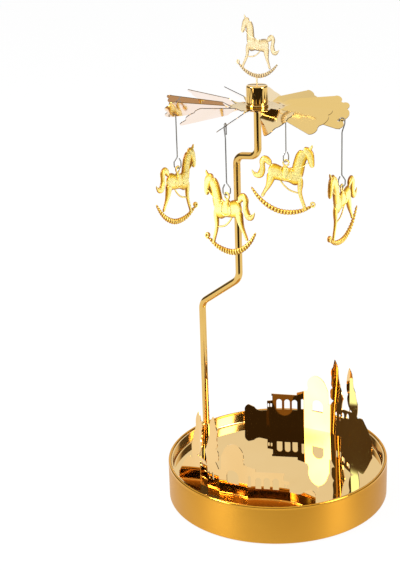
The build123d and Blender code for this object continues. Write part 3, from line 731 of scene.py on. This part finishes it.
class CAROUSEL_OT_stage(bpy.types.Operator):
    """Table, lamps, world and camera"""
    bl_idname = "carousel.stage"
    bl_label = "Stage"

    def execute(self, context):
        s = context.scene.carousel_stage
        scene = context.scene
        scene.view_settings.view_transform = "Standard"
        half = s.floor_size / 2
        mesh = bpy.data.meshes.new("table")
        corners = [(-half, -half, 0), (half, -half, 0), (half, half, 0), (-half, half, 0)]
        mesh.from_pydata(corners, [], [(0, 1, 2, 3)])
        table = bpy.data.objects.new("table", mesh)
        scene.collection.objects.link(table)
        table.data.materials.append(table_material())
        studio_world()
        for lamp in LAMPS:
            area_lamp(*lamp)
        data = bpy.data.cameras.new("photo_camera")
        data.lens = s.lens
        data.sensor_width = 36.0
        data.shift_x = s.shift
        camera = bpy.data.objects.new("photo_camera", data)
        scene.collection.objects.link(camera)
        ahead = Vector((0, cos(s.camera_tilt), -sin(s.camera_tilt)))
        up = Vector((0, sin(s.camera_tilt), cos(s.camera_tilt)))
        right = Vector((1, 0, 0))
        image_x = right * cos(s.camera_roll) + up * sin(s.camera_roll)
        image_y = up * cos(s.camera_roll) - right * sin(s.camera_roll)
        turn = Matrix((image_x, image_y, -ahead)).transposed().to_4x4()
        camera.matrix_world = Matrix.Translation((0, -s.camera_back, s.camera_up)) @ turn
        scene.camera = camera
        return {"FINISHED"}


class CAROUSEL_OT_tray(bpy.types.Operator):
    """Satin drum with its rolled rim, mirror dish, bottom plate and felt pad"""
    bl_idname = "carousel.tray"
    bl_label = "Tray"

    def execute(self, context):
        s = context.scene.carousel_tray
        outer, low, high = TRAY_HIGH.x, TRAY_LOW.z, TRAY_HIGH.z
        rim, hem, flange = 1.3 * MM, 1.65 * MM, 4.6 * MM
        drum = rounded(
            [
                (outer - flange, low), (outer, low), (outer, high), (outer - rim, high),
                (outer - rim, high - hem), (outer - SHEET, high - hem), (outer - SHEET, low + SHEET),
                (outer - flange, low + SHEET),
            ],
            [s.foot_round, rim * 0.4999, rim * 0.4999, 0, 0, 0.3 * MM],
            12,
        )
        gold = brushed("satin_gold", s.wall, s.wall_deep, s.roughness)
        place(revolve("drum", drum, (0, 0), 256), gold, "base", "base_shell", slot="tray_gold")
        wall, top, floor = DISH_HIGH.x, DISH_HIGH.z, DISH_LOW.z + SHEET
        dish = rounded(
            [
                (0, floor), (wall - SHEET, floor), (wall - SHEET, top), (wall, top),
                (wall, DISH_LOW.z), (0, DISH_LOW.z),
            ],
            [s.dish_bend, 0, 0, s.dish_bend + SHEET],
            12,
        )
        mirror = polished(
            "mirror_gold", s.mirror, s.mirror_deep, roughness=0.012, haze=0.012, satin_above=floor + 0.2 * MM
        )
        place(revolve("mirror_floor", dish, (0, 0), 256), mirror, "base", "mirror_dish", slot="mirror_gold")
        finish_nodes(felt("grey_felt", srgb("3A3936"), srgb("55534F")), "base_pad")
        finish_nodes(plain_metal("tinned_plate", srgb("B9B6AE"), srgb("97948C"), 0.35), "bottom_plate")
        return {"FINISHED"}


# The mast: its plug inside the joint and the gap left there, its step aside after the lower bends, the heights
# of its four bends, and how far it covers the needle
PLUG = 6.0 * MM
JOINT_GAP = 0.04 * MM
MAST_STEP = 21.2 * MM
MAST_BENDS = (84.6 * MM, 99.8 * MM, 156.0 * MM, 157.2 * MM)
NEEDLE_SEAT = 5.0 * MM


class CAROUSEL_OT_mast(bpy.types.Operator):
    """Socket on the mirror floor and the two rods of the bent mast"""
    bl_idname = "carousel.mast"
    bl_label = "Mast"

    def execute(self, context):
        s = context.scene.carousel_mast
        gold = polished("rod_gold", s.gold, s.deep, s.roughness)
        radius = s.thick / 2
        spigot, sleeve, bore = 1.3 * MM, radius + 0.75 * MM, radius + 0.05 * MM
        floor, top = DISH_LOW.z + SHEET, SOCKET_HIGH.z
        seat = floor + 1.5 * MM
        socket = rounded(
            [
                (0, SOCKET_LOW.z), (spigot, SOCKET_LOW.z), (spigot, floor), (sleeve, floor),
                (sleeve, top - 1.3 * MM), (sleeve - 0.2 * MM, top - 1.15 * MM), (sleeve, top - 1.0 * MM),
                (sleeve, top), (bore, top), (bore, seat), (0, seat),
            ],
            [0, 0, 0.15 * MM, 0.05 * MM, 0.05 * MM, 0.05 * MM, 0.3 * MM, 0.1 * MM, 0],
        )
        place(revolve("socket", socket, MAST, 96), gold, "base", "rod_socket", slot="mast_gold")
        joint = ROD_HIGH.z - PLUG
        straight = [(MAST.x, MAST.y, z) for z in np.linspace(ROD_LOW.z, joint - JOINT_GAP, 12)]
        place(closed_tube("lower_mast", straight, radius), gold, "base", "lower_rod", slot="mast_gold")
        reach = (HUB - MAST).to_2d()
        out = reach.normalized()
        first, second, third, fourth = MAST_BENDS
        bend = rounded(
            [
                (0, joint), (0, first), (MAST_STEP, second), (MAST_STEP, third), (reach.length, fourth),
                (reach.length, NEEDLE_LOW.z + NEEDLE_SEAT),
            ],
            [6.0 * MM, 6.0 * MM, 4.0 * MM, 4.0 * MM],
            16,
        )
        line = [(MAST.x + out.x * u, MAST.y + out.y * u, z) for u, z in bend]
        place(closed_tube("upper_mast", line, radius), gold, "base", "upper_rod", slot="mast_gold")
        steel = plain_metal("turned_steel", srgb("B5B3AF"), srgb("8B8985"), 0.25)
        finish_nodes(steel, "socket_washer", "socket_nut", "pivot_needle", "pivot_cup")
        return {"FINISHED"}


FAN_SHEET = 0.3 * MM


class CAROUSEL_OT_fan(bpy.types.Operator):
    """Hub cup with its brim, collar under the fan, and the twelve blades"""
    bl_idname = "carousel.fan"
    bl_label = "Fan"

    def execute(self, context):
        s = context.scene.carousel_fan
        gold = polished("cup_gold", s.cup, srgb("E2B35A"), roughness=0.03, haze=0.02)
        top, low = CUP_HIGH.z, CUP_LOW.z
        fan_low, fan_high = COLLAR_HIGH.z, COLLAR_HIGH.z + FAN_SHEET
        wall, bore, groove, brim, neck, neck_bore = (r * MM for r in (4.6, 4.1, 4.35, 4.85, 4.0, 3.5))
        ledge, ceiling = fan_high + 0.9 * MM, top - 0.5 * MM
        cup = rounded(
            [
                (0, top), (wall, top), (wall, fan_high + 1.35 * MM), (groove, fan_high + 1.25 * MM),
                (groove, ledge), (brim, ledge), (brim, fan_high), (neck, fan_high), (neck, low),
                (neck_bore, low), (neck_bore, ledge), (bore, ledge), (bore, ceiling), (0, ceiling),
            ],
            [0.9 * MM, 0.12 * MM, 0.1 * MM, 0.1 * MM, 0.3 * MM, 0.3 * MM, 0, 0, 0, 0, 0, 0],
            10,
        )
        place(revolve("cup", cup, HUB, 128), gold, "rotor", "hub_cap", slot="fan_gold")
        inside, outside = neck + 0.02 * MM, COLLAR_HIGH.x - HUB.x
        ring = rounded(
            [(inside, COLLAR_LOW.z), (outside, COLLAR_LOW.z), (outside, fan_low), (inside, fan_low)],
            [0.25 * MM, 0.2 * MM],
        )
        place(revolve("collar", ring, HUB, 128), gold, "rotor", "hub_collar", slot="fan_gold")
        # The blades' pale underside is a painted reflection and their cut edges carry painted shade
        finish_nodes(two_faced("fan_gold", s.top, s.under, s.roughness), "fan_wheel")
        return {"FINISHED"}


class CAROUSEL_OT_town(bpy.types.Operator):
    """The two folded mirror strips cut as a town with cypresses"""
    bl_idname = "carousel.town"
    bl_label = "Town strips"

    def execute(self, context):
        s = context.scene.carousel_town
        gold = polished("town_gold", s.gold, s.deep, s.roughness, haze=0.012, warp=0.35)
        finish_nodes(gold, "skyline_back", "skyline_front")
        return {"FINISHED"}


class CAROUSEL_OT_horses(bpy.types.Operator):
    """Four pressed rocking horses, each on its own wire"""
    bl_idname = "carousel.horses"
    bl_label = "Horses"

    def execute(self, context):
        s = context.scene.carousel_horses
        # Painted highlight on what stands proud and painted shade at the edges; groove sets how much of that shade
        gold = stamped("horse_gold", s.crest, s.bright, s.deep, s.roughness, s.metallic, groove=0.9)
        arrays = horse_arrays(s.ribs, s.thickness, True)
        for k in range(1, 5):
            joint = next(j for j in frame["joints"] if j["name"] == f"horse_rock_{k}")
            heading = atan2(joint["axis"][0], -joint["axis"][1])
            mesh = horse_mesh(f"pressed_horse_{k}", *arrays, s.height, joint["pos_m"], heading, HANG_DIP)
            place(mesh, gold, f"horse_{k}", f"horse_{k}", slot="figure_gold")
        return {"FINISHED"}


# The finial: its heading, its ear's tip above and its stem ahead of the eye's centre, where the stem ends in the
# rocker, as shares of its height, and how much of the edge's tone the stem takes
FINIAL_HEADING = radians(140.0)
EAR_TIP = 0.311
STEM_AHEAD = 0.05
STEM_TOP = -0.67
STEM_EDGE = 0.3


class CAROUSEL_OT_finial(bpy.types.Operator):
    """Pale etched horse on its stem above the cup"""
    bl_idname = "carousel.finial"
    bl_label = "Finial"

    def execute(self, context):
        s = context.scene.carousel_finial
        gold = stamped("finial_gold", s.pale, s.warm, s.deep, roughness=0.30, metallic=0.35, groove=0.9)
        back = STEM_AHEAD * s.height
        centre = (
            HUB.x - back * cos(FINIAL_HEADING), HUB.y - back * sin(FINIAL_HEADING),
            FINIAL_HIGH.z - EAR_TIP * s.height,
        )
        half = s.stem / 2 / s.height
        foot = (FINIAL_LOW.z - centre[2]) / s.height
        stem = [(STEM_AHEAD, foot, half), (STEM_AHEAD, STEM_TOP, half)]
        post, post_faces, post_edge = limb(stem, cap=0.01, rows=8)
        post[:, 2] *= s.thickness
        arrays = join([horse_arrays(20, s.thickness, False), (post, post_faces, post_edge * STEM_EDGE)])
        mesh = horse_mesh("etched_horse", *arrays, s.height, centre, FINIAL_HEADING, 0.0)
        place(mesh, gold, "rotor", "finial_horse", slot="fan_gold")
        return {"FINISHED"}


class CAROUSEL_OT_hangers(bpy.types.Operator):
    """Steel of the four hanger wires"""
    bl_idname = "carousel.hangers"
    bl_label = "Hanger wires"

    def execute(self, context):
        s = context.scene.carousel_hangers
        steel = plain_metal("wire_steel", s.steel, s.deep, 0.3)
        finish_nodes(steel, *(f"hanger_wire_{k}" for k in range(1, 5)))
        return {"FINISHED"}


class CAROUSEL_PT_panel(bpy.types.Panel):
    """The carousel's pieces"""
    bl_label = "Carousel"
    bl_idname = "CAROUSEL_PT_panel"
    bl_space_type = "VIEW_3D"
    bl_region_type = "UI"
    bl_category = "Carousel"

    def draw(self, context):
        for name, group, operator in PIECES:
            box = self.layout.box()
            box.operator(operator.bl_idname)
            settings = getattr(context.scene, name)
            for key in group.__annotations__:
                box.prop(settings, key)


PIECES = (
    ("carousel_stage", CarouselStage, CAROUSEL_OT_stage),
    ("carousel_tray", CarouselTray, CAROUSEL_OT_tray),
    ("carousel_mast", CarouselMast, CAROUSEL_OT_mast),
    ("carousel_fan", CarouselFan, CAROUSEL_OT_fan),
    ("carousel_town", CarouselTown, CAROUSEL_OT_town),
    ("carousel_hangers", CarouselHangers, CAROUSEL_OT_hangers),
    ("carousel_horses", CarouselHorses, CAROUSEL_OT_horses),
    ("carousel_finial", CarouselFinial, CAROUSEL_OT_finial),
)


def register():
    for name, group, operator in PIECES:
        bpy.utils.register_class(group)
        bpy.utils.register_class(operator)
        setattr(bpy.types.Scene, name, PointerProperty(type=group))
    bpy.utils.register_class(CAROUSEL_PT_panel)


def unregister():
    bpy.utils.unregister_class(CAROUSEL_PT_panel)
    for name, group, operator in reversed(PIECES):
        delattr(bpy.types.Scene, name)
        bpy.utils.unregister_class(operator)
        bpy.utils.unregister_class(group)


def main():
    register()
    bpy.ops.carousel.stage()
    bpy.ops.carousel.tray()
    bpy.ops.carousel.mast()
    bpy.ops.carousel.fan()
    bpy.ops.carousel.town()
    bpy.ops.carousel.hangers()
    bpy.ops.carousel.horses()
    bpy.ops.carousel.finial()


if __name__ == "__main__":
    main()
